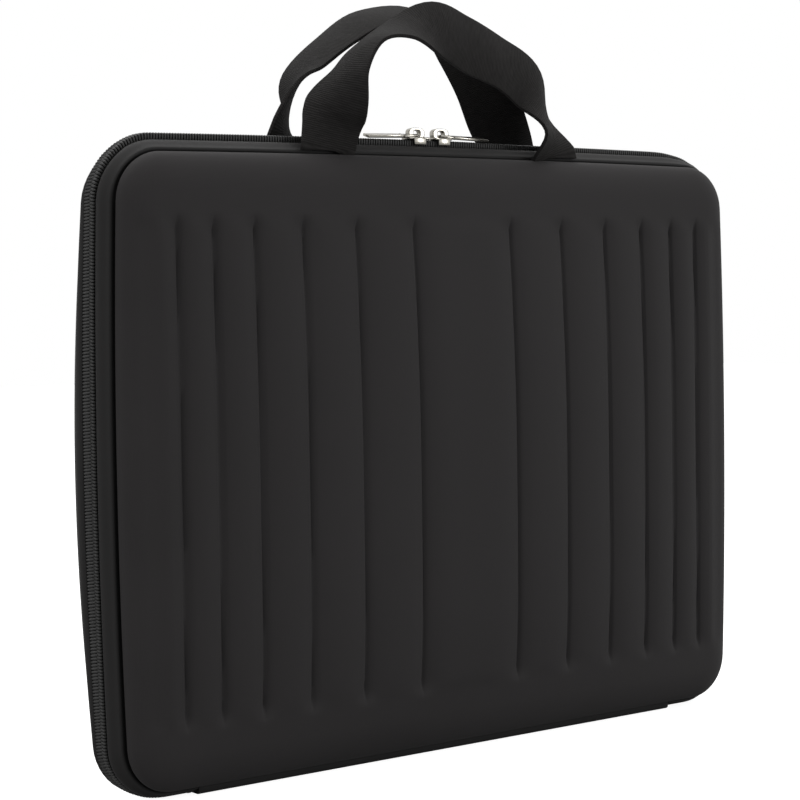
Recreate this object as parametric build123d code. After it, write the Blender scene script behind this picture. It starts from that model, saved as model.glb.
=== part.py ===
from build123d import *
import os

# A zip-around laptop case of two moulded shells, standing on its hinge spine.
# Millimetres. +Z is up, the front face looks to -Y, and the origin is at the middle of the
# underside of the spine. Each half is drawn as the front half and mirrored for the rear half.

# ---- moulded panels ----
PANEL_W = 395.0            # width of a panel at its seam
PANEL_H = 301.0            # height of a panel at its seam
PANEL_CORNER = 23.0        # corner radius of the seam
END_CROWN = 3.3            # how far each end of the case bows out at mid height
TOP_CROWN = 1.5            # how far the top bows up at mid width
SEAM_Y = 11.0              # from the zip plane to each seam
SEAM_Z = 4.6               # from the underside to the bottom seam
FACE_Y = 20.0              # from the zip plane to the flat rim of a panel's face
BULGE = 8.7                # how far the face domes out beyond that rim
DOME_MARGIN = 16.0         # from the seam to the foot of the dome
DOME_SINK = 0.3            # how far the dome's foot is sunk in the rim
RIM_SHARE = 0.92           # share of a layer's depth that it gives up at the rim's side
WALL = 3.5                 # thickness of the moulded foam
LINING_GAP = 0.15          # glue line between a shell and its lining
LINING_T = 1.0

# ---- vertical grooves in each face ----
GROOVE_X = (171.0, 151.0, 128.0, 100.0, 68.0, 32.0)   # distances from the middle
EDGE_GROOVE_X = 187.0      # the shallow outermost groove
GROOVE_W = 2.6
GROOVE_DEPTH = 2.2
EDGE_GROOVE_DEPTH = 0.8
GROOVE_END = 28.0          # from the seams to the ends of the grooves

# ---- side bands and zip ----
BAND_RIM_Y = 5.0           # from the zip plane to the rim of a band
BAND_OUT = 6.5             # how far the band's rim stands outside the seam
BAND_T = 1.6
BOTTOM_SHARE = 0.58        # share of that growth that is left along the bottom
TAPE_T = 0.6
TAPE_GAP = 0.15            # between a tape and the band over it
TAPE_EDGE_Y = 1.0          # from the zip plane to the edge of a tape
COIL_IN_Y = 0.6            # from the zip plane to the inner side of a coil
COIL_W = 3.0
COIL_T = 2.7
ZIP_GAP = 0.15             # between a coil and its tape
STOP_L = 2.7               # length of an end stop along the zip

# ---- spine ----
SPINE_L = 316.0
SPINE_T = 1.5
SPINE_FLAT = 8.0           # half width of the flat underside
SPINE_SEW = 3.0            # how far the spine runs up behind a shell's rim
FOLD_GAP = 0.1             # half of the fold line's width
END_GAP = 0.5              # between the spine's ends and the bands and zip
SEW_GAP = 0.1              # between pieces that are sewn face to face

# ---- handles ----
STRAP_W = 32.0
STRAP_T = 2.0
STRAP_SEAT = 3.1           # from the top seam up to the strap's lower end
# Centre points of each strap as (x, distance from the zip plane, height over the seat), and
# the way its width points there, from the outer edge to the inner edge (x, outwards, z).
FRONT_STRAP = (
    ((-77, 11, 0), (1.0, 0.0, 0.0)),
    ((-76.5, 12, 11), (0.97, 0.22, 0.0)),
    ((-74.5, 15, 23), (0.55, 0.83, 0.0)),
    ((-69, 16.5, 37), (0.0, 1.0, 0.0)),
    ((-57, 16.5, 52), (-0.10, 1.0, 0.05)),
    ((-36, 19, 60.5), (-0.10, 0.90, -0.40)),
    ((-13.5, 21, 61.5), (-0.20, 0.40, -0.90)),
    ((8.5, 17, 55.5), (-0.20, 0.20, -0.90)),
    ((32, 14, 48.5), (-0.30, 0.30, -0.90)),
    ((52.5, 14, 36.5), (-0.70, 0.30, -0.70)),
    ((65, 13.5, 19.5), (-0.60, 0.70, -0.30)),
    ((71, 11, 0), (-1.0, 0.0, 0.0)),
)
REAR_STRAP = (
    ((-82, 11, 0), (1.0, 0.0, 0.0)),
    ((-84, 13, 11), (0.90, 0.43, 0.10)),
    ((-82, 16, 26), (0.45, 0.90, 0.10)),
    ((-72, 16.5, 42), (0.0, 1.0, -0.05)),
    ((-50, 17.5, 57), (-0.20, 1.0, 0.0)),
    ((-25, 17.5, 72), (0.10, 1.0, 0.20)),
    ((6, 16.5, 71), (0.20, 0.95, 0.40)),
    ((32, 17.5, 52), (0.05, 1.0, 0.25)),
    ((54, 17, 30), (-0.40, 0.90, -0.35)),
    ((67, 14, 13), (-0.90, 0.43, -0.10)),
    ((71, 11, 0), (-1.0, 0.0, 0.0)),
)

# ---- sliders and pulls ----
SLIDER_X = 8.0             # from the middle between the sliders to each slider
SLIDER_MID_X = -5.0        # where the sliders meet
SLIDER_L = 12.5
SLIDER_W = 9.6
PLATE_T = 1.4
PLATE_GAP = 0.3            # between the outer plate and the coils
UNDER_GAP = 1.4            # between the tapes and the inner plate
NECK_T = 1.0               # the web between the tapes that joins the plates
NECK_L = 3.0
CROWN_H = 6.5              # height of the ring that holds the pull
CROWN_L = 12.0
CROWN_T = 2.6
CROWN_HOLE = 2.5           # radius of the hole in it
PULL_WIRE = 0.8            # radius of the pull's wire eye
PULL_PLAY = 0.4            # clearance beside the ring
PULL_SEAT = 0.3            # from the wire to the bottom of the ring's hole
PULL_L = 25.0
PULL_W = 7.5
PULL_T = 1.8

# ---- inside ----
BINDING_W = 3.5
BINDING_T = 1.0
BINDING_GAP = 0.3          # between a binding and the lining's wall
INNER_GAP = 0.15           # between pieces sewn inside and what they are sewn to
POCKET_H = 190.0
POCKET_Y = 8.5             # from the zip plane to the pocket
POCKET_T = 0.8
POCKET_EDGE_H = 12.0       # height of the pocket's elastic edge
POCKET_EDGE_PROUD = 0.4    # how far the edge stands proud of the pocket each way
CORNER_REACH = 62.0        # from a corner to the middle of its strap, along each side
CORNER_STRAP_W = 20.0
CORNER_STRAP_T = 1.2
CORNER_STRAP_GAP = 0.4     # between the sliders' inner plates and the corner straps

TOP_SEAM_Z = SEAM_Z + PANEL_H
MID_Z = SEAM_Z + PANEL_H / 2
COIL_BASE = BAND_OUT - BAND_T - TAPE_GAP + ZIP_GAP     # how far the coils' base stands outside
COIL_OUT = COIL_BASE + COIL_T
COIL_TOP_Z = TOP_SEAM_Z + TOP_CROWN + COIL_OUT


def outline(grow, y):
    """The seam's outline, grown outwards, as a face square to Y at the given distance."""
    bottom_grow = grow * BOTTOM_SHARE if grow > 0 else grow
    half, low, high = PANEL_W / 2 + grow, SEAM_Z - bottom_grow, TOP_SEAM_Z + grow
    sides = [
        Line((-half, low), (half, low)),
        ThreePointArc((half, low), (half + END_CROWN, MID_Z), (half, high)),
        ThreePointArc((half, high), (0, high + TOP_CROWN), (-half, high)),
        ThreePointArc((-half, high), (-half - END_CROWN, MID_Z), (-half, low)),
    ]
    face = make_face(sides)
    face = fillet(face.vertices(), PANEL_CORNER + grow)
    return Plane((0, -y, 0), x_dir=(1, 0, 0), z_dir=(0, -1, 0)) * face


def body_of(stations):
    """A solid through outlines given as (distance from the zip plane, growth)."""
    return loft([outline(grow, y).face() for y, grow in stations], ruled=True)


def ring(stations):
    """A closed band round the case: (distance from the zip plane, outer, inner growth)."""
    outer = body_of([(y, out) for y, out, _ in stations])
    return outer - body_of([(y, inner) for y, _, inner in stations])


def block(x0, x1, y0, y1, z0, z1):
    return Pos((x0 + x1) / 2, (y0 + y1) / 2, (z0 + z1) / 2) * Box(x1 - x0, y1 - y0, z1 - z0)


def rear(shape):
    return mirror(shape, about=Plane.XZ)


def write(shape, name):
    shape.label = name
    export_step(shape, f"parts/{name}.step")


# ---- shells ----
DOME_HALF_W = PANEL_W / 2 - DOME_MARGIN
DOME_HALF_H = PANEL_H / 2 - DOME_MARGIN


def face_depth(x, z):
    """Distance from the zip plane to the outer face of a panel."""
    u, v = x / DOME_HALF_W, (z - MID_Z) / DOME_HALF_H
    if abs(u) > 1 or abs(v) > 1:
        return FACE_Y
    return max(FACE_Y, FACE_Y - DOME_SINK + BULGE * (1 - u * u) * (1 - v * v))


def moulding(depth, open_y):
    """What lies inside the panel's outer face sunk by depth, from the plane at open_y out."""
    # The rounded shoulder as (distance from the zip plane, growth, share of depth in each).
    shoulder = (
        (SEAM_Y + 1.6, 0.0, 0.40, RIM_SHARE),
        (FACE_Y - 4.0, -3.0, 0.79, 0.62),
        (FACE_Y - 1.5, -8.0, 0.94, 0.30),
        (FACE_Y, 1.0 - DOME_MARGIN, 1.0, 0.0),
    )
    stations = [(y - depth * in_y, grow - depth * in_out) for y, grow, in_y, in_out in shoulder]
    rim = body_of([(open_y, stations[0][1]), *stations])
    foot = FACE_Y - DOME_SINK - depth
    points = [
        [
            (i * DOME_HALF_W, -(foot + (4 * BULGE if i == 0 and j == 0 else 0)),
             MID_Z + j * DOME_HALF_H)
            for j in (-1, 0, 1)
        ]
        for i in (-1, 0, 1)
    ]
    dome = extrude(Face.make_bezier_surface(points), amount=FACE_Y, dir=(0, 1, 0))
    keep = block(-PANEL_W, PANEL_W, -3 * FACE_Y, -open_y, -PANEL_H, 2 * PANEL_H)
    return rim + (dome & keep)


def groove(x, depth):
    """A cutter for one vertical groove that follows the dome and runs out at its ends."""
    low, high = SEAM_Z + GROOVE_END, TOP_SEAM_Z - GROOVE_END
    end_y = -face_depth(x, low) - 0.05
    floor = ThreePointArc((end_y, low), (depth - face_depth(x, MID_Z), MID_Z), (end_y, high))
    over = Polyline((end_y, high), (-2 * FACE_Y, high), (-2 * FACE_Y, low), (end_y, low))
    side = Plane((x - GROOVE_W / 2, 0, 0), x_dir=(0, 1, 0), z_dir=(1, 0, 0)) * make_face([floor, over])
    return extrude(side, amount=GROOVE_W)


shell = moulding(0, SEAM_Y) - moulding(WALL, SEAM_Y - 1.5)
for side in (-1, 1):
    for x in GROOVE_X:
        shell -= groove(side * x, GROOVE_DEPTH)
    shell -= groove(side * EDGE_GROOVE_X, EDGE_GROOVE_DEPTH)

lining_depth = WALL + LINING_GAP
lining_open_y = SEAM_Y - 1.5
lining = moulding(lining_depth, lining_open_y) - moulding(lining_depth + LINING_T, lining_open_y)

# ---- side band, tape, coil and binding ----
# The spine takes the band's and the zip's place along most of the bottom.
bottom_cut = block(-SPINE_L / 2 - END_GAP, SPINE_L / 2 + END_GAP, -SEAM_Y - 1, 0,
                   -BAND_OUT, SEAM_Z + BAND_OUT)
BAND_MID = (SEAM_Y - 4.0, BAND_OUT - 1.9)
band = ring([
    (SEAM_Y - SEW_GAP, 0.3, 0.3 - BAND_T),
    (*BAND_MID, BAND_MID[1] - BAND_T),
    (BAND_RIM_Y, BAND_OUT, BAND_OUT - BAND_T),
]) - bottom_cut

tape_out = BAND_OUT - BAND_T - TAPE_GAP
tape_in = tape_out - TAPE_T
tape_sewn_out = BAND_MID[1] - BAND_T - 2 * TAPE_GAP
tape_sewn_in = tape_sewn_out - TAPE_T
tape = ring([
    (BAND_MID[0], tape_sewn_out, tape_sewn_in),
    (BAND_RIM_Y, tape_out, tape_in),
    (TAPE_EDGE_Y, tape_out, tape_in),
]) - bottom_cut

coil_outer_y = COIL_IN_Y + COIL_W
coil = ring([(coil_outer_y, COIL_OUT, COIL_BASE), (COIL_IN_Y, COIL_OUT, COIL_BASE)])
stop_end_x = SPINE_L / 2 + END_GAP + STOP_L
coil -= block(-stop_end_x - SEW_GAP, stop_end_x + SEW_GAP, -SEAM_Y, 0, -COIL_OUT, SEAM_Z + COIL_OUT)

stop_z0 = SEAM_Z - BOTTOM_SHARE * COIL_OUT
stops = Compound([
    block(x0, x0 + STOP_L, -coil_outer_y, -COIL_IN_Y, stop_z0, stop_z0 + BOTTOM_SHARE * COIL_T)
    for x0 in (-stop_end_x, stop_end_x - STOP_L)
])

binding_out = -RIM_SHARE * (lining_depth + LINING_T) - BINDING_GAP
binding = ring([
    (lining_open_y + 0.6, binding_out, binding_out - BINDING_T),
    (lining_open_y + 0.6 - BINDING_W, binding_out, binding_out - BINDING_T),
])

# ---- spine ----
spine_side = make_face(Polyline(
    (-SEAM_Y + SEW_GAP, SEAM_Z + SPINE_SEW), (-SEAM_Y + SEW_GAP, SEAM_Z - 1.8),
    (-SEAM_Y + 1.1, SEAM_Z * 0.33), (-SPINE_FLAT, 0), (-FOLD_GAP, 0), (-FOLD_GAP, SPINE_T),
    (-SPINE_FLAT + 0.5, SPINE_T), (-SEAM_Y + 2.4, SEAM_Z * 0.33 + 0.9),
    (-SEAM_Y + SEW_GAP + SPINE_T, SEAM_Z - 1.4), (-SEAM_Y + SEW_GAP + SPINE_T, SEAM_Z + SPINE_SEW),
    close=True,
))
spine = extrude(Plane((-SPINE_L / 2, 0, 0), x_dir=(0, 1, 0), z_dir=(1, 0, 0)) * spine_side,
                amount=SPINE_L)

# ---- handles ----


def handle(route):
    """A flat strap through the route, drawn as the front handle, of straight twisted lengths."""
    sections = []
    places = [Vector(x, -y, TOP_SEAM_Z + STRAP_SEAT + z) for (x, y, z), _ in route]
    for i, (place, (_, width)) in enumerate(zip(places, route)):
        along = places[min(i + 1, len(places) - 1)] - places[max(i - 1, 0)]
        if i in (0, len(places) - 1):
            along = Vector(0, 0, 1 if i == 0 else -1)
        across = Vector(width[0], -width[1], width[2])
        across = (across - along.normalized() * across.dot(along.normalized())).normalized()
        plane = Plane(origin=place, x_dir=across, z_dir=along.normalized())
        sections.append((plane * Rectangle(STRAP_W, STRAP_T)).face())
    strap = loft(sections[:2], ruled=True)
    for pair in zip(sections[1:], sections[2:]):
        strap += loft(pair, ruled=True)
    return strap


# ---- sliders and pulls, drawn for the left slider with its pull lying to the left ----
plate_z = COIL_TOP_Z + PLATE_GAP
under_z = TOP_SEAM_Z + TOP_CROWN + tape_in - UNDER_GAP
crown_z = plate_z + PLATE_T
hole_z = crown_z + CROWN_H / 2


def slider(side):
    """One slider: outer plate with its ring, neck and inner plate; side is -1 on the left."""
    x = SLIDER_MID_X + side * SLIDER_X
    outer = Pos(x, 0, plate_z + PLATE_T / 2) * Box(SLIDER_L, SLIDER_W, PLATE_T)
    outer = fillet(outer.edges().filter_by(Axis.Z), SLIDER_W / 4)
    inner = Pos(x, 0, under_z - PLATE_T / 2) * Box(SLIDER_L, SLIDER_W, PLATE_T)
    inner = fillet(inner.edges().filter_by(Axis.Z), SLIDER_W / 4)
    neck_x = x - side * (SLIDER_L - NECK_L) / 2
    neck = block(neck_x - NECK_L / 2, neck_x + NECK_L / 2, -NECK_T / 2, NECK_T / 2,
                 under_z - PLATE_T / 2, plate_z + PLATE_T / 2)
    arch = SlotOverall(CROWN_L, CROWN_H) - Circle(CROWN_HOLE)
    arch = Plane((x, CROWN_T / 2, hole_z), x_dir=(1, 0, 0), z_dir=(0, -1, 0)) * arch
    foot = block(x - CROWN_L / 3, x - CROWN_HOLE, -CROWN_T / 2, CROWN_T / 2,
                 plate_z + PLATE_T / 2, crown_z + CROWN_H / 3)
    foot += block(x + CROWN_HOLE, x + CROWN_L / 3, -CROWN_T / 2, CROWN_T / 2,
                  plate_z + PLATE_T / 2, crown_z + CROWN_H / 3)
    return outer + inner + neck + extrude(arch, amount=CROWN_T) + foot


def pull(side):
    """One pull: a wire eye through the slider's ring and a flat tab, lying outwards."""
    x = SLIDER_MID_X + side * SLIDER_X
    eye_z = hole_z - CROWN_HOLE + PULL_WIRE + PULL_SEAT
    cross = Plane((x, 0, eye_z), x_dir=(1, 0, 0), z_dir=(0, -1, 0)) * Circle(PULL_WIRE)
    reach_y = CROWN_T / 2 + PULL_PLAY + PULL_WIRE
    pin = extrude(cross, amount=reach_y, both=True)
    tab_x = x + side * (CROWN_L / 2 + PULL_PLAY + PULL_WIRE)
    tab = Box(PULL_L, PULL_W, PULL_T)
    tab = fillet(tab.edges().filter_by(Axis.Z), PULL_W / 4)
    solid = pin + Pos(tab_x + side * PULL_L / 2, 0, eye_z) * tab
    arm_end_x = tab_x + side * PULL_WIRE
    for y in (-reach_y, reach_y):
        solid += Pos(x, y, eye_z) * Rot(90, 0, 0) * Cylinder(PULL_WIRE, 2 * PULL_WIRE)
        solid += block(min(x, arm_end_x), max(x, arm_end_x), y - PULL_WIRE, y + PULL_WIRE,
                       eye_z - PULL_WIRE, eye_z + PULL_WIRE)
    return solid


# ---- pocket and corner straps ----
# The pocket is sewn in all round at the binding, and is open along its top edge.
pocket_out = binding_out - BINDING_T - INNER_GAP
pocket_top = SEAM_Z + POCKET_H


def sheet(y, thickness, grow, z0, z1):
    """A flat layer of the outline between two heights, as a piece of the front half."""
    layer = body_of([(y, grow), (y + thickness, grow)])
    return layer & block(-PANEL_W, PANEL_W, -FACE_Y, 0, z0, z1)


pocket = sheet(POCKET_Y, POCKET_T, pocket_out, 0, pocket_top)
pocket_edge = sheet(POCKET_Y - POCKET_EDGE_PROUD, POCKET_T + 2 * POCKET_EDGE_PROUD, pocket_out,
                    pocket_top + SEW_GAP, pocket_top + SEW_GAP + POCKET_EDGE_H)

# The corner straps are caught behind the tape, which slopes in from the band's rim.
corner_strap_y = SLIDER_W / 2 + CORNER_STRAP_GAP
tape_slope = (tape_sewn_in - tape_in) / (BAND_MID[0] - BAND_RIM_Y)
corner_strap_out = tape_in + tape_slope * (corner_strap_y + CORNER_STRAP_T - BAND_RIM_Y) - INNER_GAP
strap_layer = sheet(corner_strap_y, CORNER_STRAP_T, corner_strap_out, -PANEL_H, 2 * PANEL_H)
corner_straps = Compound([
    (strap_layer & (Pos(side * (PANEL_W / 2 - CORNER_REACH / 2), -corner_strap_y, z)
                    * Rot(0, lean * 45, 0) * Box(3 * CORNER_REACH, FACE_Y, CORNER_STRAP_W))).solid()
    for side in (-1, 1)
    for z, lean in ((SEAM_Z + CORNER_REACH / 2, -side), (TOP_SEAM_Z - CORNER_REACH / 2, side))
])

if __name__ == "__main__":
    os.makedirs("parts", exist_ok=True)
    halves = {
        "shell": shell, "lining": lining, "side_band": band, "seam_binding": binding,
        "zip_tape": tape, "zip_coil": coil, "zip_end_stops": stops, "spine": spine,
    }
    for name, shape in halves.items():
        write(shape, f"front_{name}")
        write(rear(shape), f"rear_{name}")
    write(handle(FRONT_STRAP), "front_handle")
    write(rear(handle(REAR_STRAP)), "rear_handle")
    for side, name in ((-1, "left"), (1, "right")):
        write(slider(side), f"{name}_slider")
        write(pull(side), f"{name}_pull")
    write(pocket, "front_pocket")
    write(pocket_edge, "front_pocket_edge")
    write(rear(corner_straps), "laptop_corner_straps")
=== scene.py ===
"""A moulded laptop case dressed for rendering: ribbed shells, zip, webbing handles and lining.

Everything is in metres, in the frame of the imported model: +Z is up, the front face looks to -Y
and the origin is under the middle of the spine. Each half is drawn as the front half, at -Y,
and mirrored for the rear half.
"""

import math

import bmesh
import bpy
from bpy.props import FloatProperty, FloatVectorProperty, PointerProperty
from mathutils import Matrix, Vector, noise


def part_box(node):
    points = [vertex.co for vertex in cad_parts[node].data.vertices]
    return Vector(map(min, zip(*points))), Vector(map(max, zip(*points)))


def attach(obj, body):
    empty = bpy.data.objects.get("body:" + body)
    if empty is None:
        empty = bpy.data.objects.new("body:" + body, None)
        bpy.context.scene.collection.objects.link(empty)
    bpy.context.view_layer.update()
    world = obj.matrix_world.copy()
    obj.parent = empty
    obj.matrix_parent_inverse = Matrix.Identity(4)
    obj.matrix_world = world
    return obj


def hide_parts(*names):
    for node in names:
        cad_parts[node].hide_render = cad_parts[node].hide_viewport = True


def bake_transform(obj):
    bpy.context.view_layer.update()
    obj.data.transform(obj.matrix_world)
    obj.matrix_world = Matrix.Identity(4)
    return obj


bl_info = {
    "name": "Moulded laptop case",
    "version": (1, 0, 0),
    "blender": (4, 5, 0),
    "location": "3D View > Sidebar > Laptop Case",
    "description": "Builds the shells, zip, handles, spine and lining of a moulded laptop case",
    "category": "Object",
}

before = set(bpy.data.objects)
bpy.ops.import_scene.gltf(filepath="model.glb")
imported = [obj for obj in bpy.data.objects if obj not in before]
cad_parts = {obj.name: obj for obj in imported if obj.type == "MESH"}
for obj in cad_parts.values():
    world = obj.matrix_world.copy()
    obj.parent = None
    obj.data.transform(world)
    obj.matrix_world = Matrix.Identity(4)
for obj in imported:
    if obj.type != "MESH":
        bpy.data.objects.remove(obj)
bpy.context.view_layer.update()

# ---- places and sizes that the frame gives ----
MM = 0.001
SHELL_LOW, SHELL_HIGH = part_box("front_shell")
TAPE_LOW, TAPE_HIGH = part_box("front_zip_tape")
BAND_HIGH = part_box("front_side_band")[1]
COIL_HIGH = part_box("front_zip_coil")[1]
SPINE_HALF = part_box("front_spine")[1].x
STRAP_SEAT_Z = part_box("front_handle")[0].z
END_CROWN = 3.3 * MM       # how far each end bows out at mid height
TOP_CROWN = 1.5 * MM       # how far the top bows up at mid width
HALF_W = SHELL_HIGH.x - END_CROWN
SEAM_LOW = SHELL_LOW.z
SEAM_HIGH = SHELL_HIGH.z - TOP_CROWN
HALF_H = (SEAM_HIGH - SEAM_LOW) / 2
MID_Z = (SEAM_HIGH + SEAM_LOW) / 2
SEAM_Y = -SHELL_HIGH.y     # from the zip plane to a shell's seam
BAND_OUT = BAND_HIGH.x - SHELL_HIGH.x
BAND_RIM_Y = -BAND_HIGH.y
COIL_OUT = COIL_HIGH.x - SHELL_HIGH.x
COIL_IN_Y = -COIL_HIGH.y
COIL_HEIGHT = 2.7 * MM
BOTTOM_SHARE = 0.58        # share of a ring's growth that is left along the bottom
SEAM_GAP = 1.8 * MM        # width of the recess along each seam
SPINE_CUT = SPINE_HALF + 0.5 * MM      # where the bands and the zip stop beside the spine

# ---- soft departures from that shape ----
REAR_BOW_OUT = 6.4 * MM    # how far the rear half's ends bow out at mid height
REAR_BOW_BACK = 2.0 * MM   # and how far they bow back from the zip
REAR_PUFF = 1.7 * MM       # how much fuller the rear side bands stand at the ends
LEFT_CORNER_LOSS = 0.12    # share of a ring's growth lost round the top left corner
RIGHT_CORNER_LOSS = 0.45   # and round the top right corner, where the rim lies flatter
TOP_BAND_DIP = 0.8 * MM    # how much lower the side bands' crowns lie along the top
BAND_EDGE_Y = BAND_RIM_Y - 1.4 * MM    # where a band's soft edge lies over the tape
PULL_LIFT = 0.35 * MM      # how much higher the pulls lie, on the zip's lifted top
PULL_ROLL = math.radians(17.5)         # how far the pulls' tabs have rolled, front edges down
PULL_DROP = math.radians(1.5)          # how far the pulls slope down to lie on the zip


# ---- Settings ----


def a_length(name, description, default, low=0.0):
    return FloatProperty(name=name, description=description, default=default, min=low,
                         unit="LENGTH")


def an_angle(name, description, degrees):
    return FloatProperty(name=name, description=description, default=math.radians(degrees),
                         subtype="ANGLE")


def a_colour(name, description, default):
    return FloatVectorProperty(name=name, description=description, default=default, min=0, max=1,
                               subtype="COLOR")


class ShellSettings(bpy.types.PropertyGroup):
    corner: a_length("Corner radius", "Radius of the seam's corners", 23 * MM, 5 * MM)
    rise: a_length("Shoulder rise", "Rise of the rounded shoulder from the seam", 9 * MM)
    shoulder: a_length("Shoulder width", "Width of the rounded shoulder", 18 * MM, MM)
    bulge: a_length("Bulge", "How far the face domes out in the middle", 8.7 * MM)
    wall: a_length("Wall", "Thickness of the moulded foam", 3.2 * MM, MM)
    groove_depth: a_length("Groove depth", "Depth of the grooves below the ribs", 2.3 * MM)
    rib_round: a_length("Rib rounding", "Reach of a rib's rounded flank", 16 * MM, MM)
    crease: a_length("Crease", "Depth of the crease in a groove's bottom", 0.8 * MM)
    groove_end: a_length("Groove ends", "From the seams to the grooves' ends", 28 * MM)
    colour: a_colour("Shell colour", "Colour of the moulded fabric", (0.0225, 0.0210, 0.0214))


class ZipSettings(bpy.types.PropertyGroup):
    pitch: a_length("Coil pitch", "Distance between coil turns", 1.55 * MM, 0.5 * MM)
    slant: a_length("Slant", "How far a turn leans along the zip", 0.5 * MM)
    colour: a_colour("Coil colour", "Colour of the nylon coils", (0.019, 0.019, 0.0185))
    metal: a_colour("Metal colour", "Colour of the sliders and pulls", (0.36, 0.345, 0.31))


class HandleSettings(bpy.types.PropertyGroup):
    width: a_length("Webbing width", "Width of the webbing", 32 * MM, MM)
    thickness: a_length("Webbing thickness", "Thickness of the webbing", 1.8 * MM, 0.5 * MM)
    rib_pitch: a_length("Webbing rib", "Distance between cross ribs", 1.05 * MM, 0.2 * MM)
    colour: a_colour("Webbing colour", "Colour of the webbing", (0.0135, 0.0128, 0.0125))


class InsideSettings(bpy.types.PropertyGroup):
    lining: a_colour("Lining colour", "Colour of the brushed knit", (0.055, 0.055, 0.060))
    mesh: a_colour("Mesh colour", "Colour of the pocket's mesh", (0.045, 0.045, 0.048))


class StageSettings(bpy.types.PropertyGroup):
    lens: FloatProperty(name="Lens", description="Focal length in millimetres", default=98.37,
                        min=20)
    yaw: an_angle("Camera yaw", "Turn of the view from straight at the front", 38.2)
    pitch: an_angle("Camera pitch", "Tilt of the view over the horizon", -3.0)
    roll: an_angle("Camera roll", "Turn of the picture about the view", -0.83)
    floor_size: a_length("Floor size", "Side of the floor", 8.0, 1.0)


# ---- Outlines and surfaces shared by the pieces ----


def clamp(value, low=0.0, high=1.0):
    return max(low, min(high, value))


def smoothstep(t):
    t = clamp(t)
    return t * t * (3 - 2 * t)


def spread(start, end, step):
    """Evenly spaced values from start to end, no further apart than step."""
    count = max(1, math.ceil(abs(end - start) / step - 1e-6))
    return [start + (end - start) * i / count for i in range(count + 1)]


def running_lengths(points):
    """The length of the path through points, up to each of them."""
    lengths = [0.0]
    for before, after in zip(points, points[1:]):
        lengths.append(lengths[-1] + math.dist(before, after))
    return lengths


def beside(a, b, *steps):
    """Points beside (a, b), at steps in millimetres."""
    return [(a + da * MM, b + db * MM) for da, db in steps]


def bezier(p0, p1, p2, p3, steps):
    """Points of a plane Bezier curve."""
    points = []
    for t in spread(0, 1, 1 / steps):
        s = 1 - t
        points.append(tuple(s ** 3 * a + 3 * s * s * t * b + 3 * s * t * t * c + t ** 3 * d
                            for a, b, c, d in zip(p0, p1, p2, p3)))
    return points


def bowed(x, z):
    """A point of the straight-sided outline, warped by the ends' and the top's slight bow."""
    u = clamp(x / HALF_W, -1.0)
    v = clamp((z - MID_Z) / HALF_H, -1.0)
    x += math.copysign(END_CROWN, x) * abs(u) * (1 - v * v)
    z += TOP_CROWN * (1 - u * u) * (1 + v) / 2
    return x, z


def seam_track(corner, end_x=0.0, step=6 * MM, corner_steps=12):
    """Places round the seam as (x, z, outward x, outward z, length so far), from bottom middle.

    It runs up the left end, along the top and down the right end. With end_x it starts and
    stops at that distance from the middle of the bottom.
    """
    inner_w, inner_h = HALF_W - corner, HALF_H - corner
    top, end = spread(-inner_w, inner_w, step), spread(-inner_h, inner_h, step)
    places = [(-x, SEAM_LOW, 0.0, -1.0) for x in spread(end_x, inner_w, step)]
    for side, up, first, run in (
            (-1, -1, -0.5, [(-HALF_W, MID_Z + z, -1.0, 0.0) for z in end]),
            (-1, 1, 1.0, [(x, SEAM_HIGH, 0.0, 1.0) for x in top]),
            (1, 1, 0.5, [(HALF_W, MID_Z - z, 1.0, 0.0) for z in end]),
            (1, -1, 0.0, [(x, SEAM_LOW, 0.0, -1.0) for x in spread(inner_w, end_x, step)])):
        for i in range(1, corner_steps):
            angle = math.pi * (first - i / corner_steps / 2)
            nx, nz = math.cos(angle), math.sin(angle)
            places.append((side * inner_w + corner * nx, MID_Z + up * inner_h + corner * nz,
                           nx, nz))
        places += run
    lengths = running_lengths([place[:2] for place in places])
    return [(*place, length) for place, length in zip(places, lengths)]


def corner_loss(x, out_x, out_z):
    """The share of a ring's growth that is lost at a place along the top or its corners."""
    if x < 0:
        return LEFT_CORNER_LOSS * (2 * abs(out_x) * out_z) ** 1.5
    return RIGHT_CORNER_LOSS * smoothstep((x - 160 * MM) / (30 * MM)) * out_z ** 0.7


def top_lift(x, out_z):
    """How far the zip's coils stand up along the top: most on the left, least on the right."""
    lift = 1.7 * MM - 0.6 * MM * smoothstep(x / (80 * MM))
    return lift * smoothstep((195 * MM - x) / (45 * MM)) * max(0.0, out_z)


def on_track(place, grow, y):
    """The point over a place of the track, grown outwards, at a distance in front of the zip."""
    x, z, out_x, out_z, _ = place
    if grow > 0 < out_z:
        grow *= 1 - corner_loss(x, out_x, out_z)
    rise = out_z * grow
    if rise < 0 < grow:
        rise *= BOTTOM_SHARE
    x, z = bowed(x + out_x * grow, z + rise)
    return Vector((x, -y, z))


# ---- Modelling helpers ----


def deselect_all():
    if bpy.context.mode != "OBJECT":
        bpy.ops.object.mode_set(mode="OBJECT")
    bpy.ops.object.select_all(action="DESELECT")


def select_only(piece):
    deselect_all()
    piece.select_set(True)
    bpy.context.view_layer.objects.active = piece


def named(piece, name):
    piece.name = piece.data.name = name
    return piece


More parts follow.
